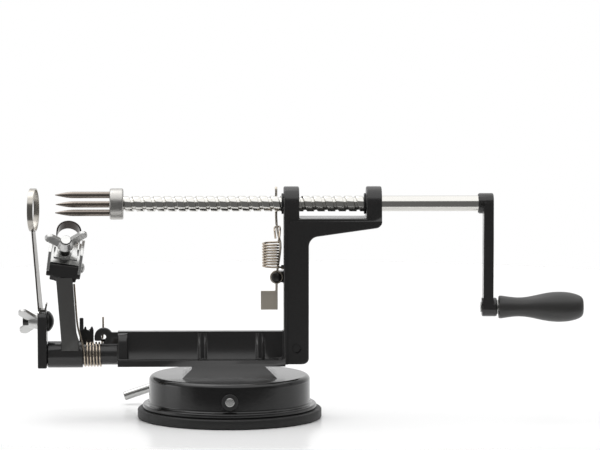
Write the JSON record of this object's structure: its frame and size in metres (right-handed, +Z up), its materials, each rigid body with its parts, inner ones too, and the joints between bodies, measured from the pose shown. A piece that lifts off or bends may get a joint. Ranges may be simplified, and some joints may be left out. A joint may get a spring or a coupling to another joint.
{
  "type": "apple peeler",
  "caption": "Hand cranked apple peeler, corer and slicer: a threaded spindle with a fork feeds fruit past a sprung peeling arm and a ring blade, on a suction foot.",
  "frame": {"origin": "centre of the suction pad's bottom face, on the table", "axes": "+X along the spindle towards the crank, +Y away from the side the peeling arm opens to, +Z up"},
  "size_m": [0.3414, 0.1147, 0.1402],
  "materials": {
    "enamel": "satin black enamel on a casting",
    "gloss_enamel": "glossy black enamel",
    "rubber": "matt black rubber",
    "dark_steel": "blackened steel",
    "blade_steel": "plain drawn and rolled steel",
    "rod_steel": "bright plated rod with a rolled thread",
    "plated_steel": "dull zinc plate",
    "bright_plate": "bright nickel plate",
    "spring_steel": "drawn spring wire with a warm tone",
    "nylon": "black nylon",
    "grip_plastic": "satin black plastic"
  },
  "bodies": {
    "frame": {"frame_casting": "enamel", "front_post": "enamel", "post_screw": "dark_steel", "slicing_blade": "blade_steel", "slicer_bolt": "dark_steel", "slicer_washer": "bright_plate", "peel_spring": "spring_steel", "suction_cap": "gloss_enamel", "suction_pad": "rubber", "lever_bushes": "nylon", "base_screws": "plated_steel", "base_washers": "plated_steel", "feed_lever_screw": "dark_steel", "feed_lever_spring": "spring_steel"},
    "bearings": {"front_bush": "nylon", "rear_bush": "nylon"},
    "spindle": {"feed_screw": "rod_steel", "fork_hub": "plated_steel", "fork_prongs": "blade_steel", "crank_arm": "enamel", "crank_pin": "dark_steel", "grip_axle": "plated_steel", "grip_washer": "plated_steel"},
    "grip": {"grip": "grip_plastic"},
    "peel_arm": {"peel_arm": "enamel", "blade_holder": "bright_plate", "holder_screw": "dark_steel", "peel_blade": "bright_plate", "peel_bolt": "plated_steel", "peel_washer": "bright_plate"},
    "peel_nut": {"peel_wing_nut": "bright_plate"},
    "slicer_nut": {"slicer_wing_nut": "bright_plate"},
    "feed_lever": {"feed_lever": "bright_plate"},
    "suction_lever": {"suction_lever": "bright_plate", "lever_cam": "plated_steel"},
    "plunger": {"plunger": "plated_steel"}
  },
  "joints": [
    {"name": "crank_turn", "type": "hinge", "parent": "frame", "child": "bearings", "pos_m": [0.0622, 0, 0.1297], "axis": [1, 0, 0], "range_deg": [-2250, 5040]},
    {"name": "spindle_feed", "type": "slide", "parent": "bearings", "child": "spindle", "axis": [1, 0, 0], "range_m": [-0.0402, 0.0898]},
    {"name": "grip_spin", "type": "hinge", "parent": "spindle", "child": "grip", "pos_m": [0.188, 0, 0.0667], "axis": [1, 0, 0], "continuous": true},
    {"name": "peel_swing", "type": "hinge", "parent": "frame", "child": "peel_arm", "pos_m": [-0.0985, 0, 0.03855], "axis": [1, 0, 0], "range_deg": [0, 75], "stiffness_Nm_per_rad": 0.15, "springref_deg": -28.65, "deforming": ["peel_spring"]},
    {"name": "feed_lever_rock", "type": "hinge", "parent": "frame", "child": "feed_lever", "pos_m": [0.0284, -0.00325, 0.0855], "axis": [-1, 0, 0], "range_deg": [0, 3], "stiffness_Nm_per_rad": 0.3, "springref_deg": -5.73, "deforming": ["feed_lever_spring"]},
    {"name": "suction_turn", "type": "hinge", "parent": "frame", "child": "suction_lever", "pos_m": [0, 0, 0.0157], "axis": [0, 1, 0], "range_deg": [0, 120], "deforming": ["suction_pad"]},
    {"name": "plunger_lift", "type": "slide", "parent": "frame", "child": "plunger", "axis": [0, 0, 1], "range_m": [0, 0.0026]},
    {"name": "slicer_nut_turn", "type": "hinge", "parent": "frame", "child": "slicer_nut", "pos_m": [-0.1182, 0, 0.05875], "axis": [-1, 0, 0], "continuous": true},
    {"name": "peel_nut_turn", "type": "hinge", "parent": "peel_arm", "child": "peel_nut", "pos_m": [-0.09851, -0.00715, 0.10577], "axis": [0.0839, -0.766, 0.6373], "continuous": true}
  ],
  "couplings": [
    {"joint": "spindle_feed", "follows": "crank_turn", "m_per_rad": 0.0010186},
    {"joint": "plunger_lift", "follows": "suction_turn", "m_per_rad": 0.0011578}
  ]
}
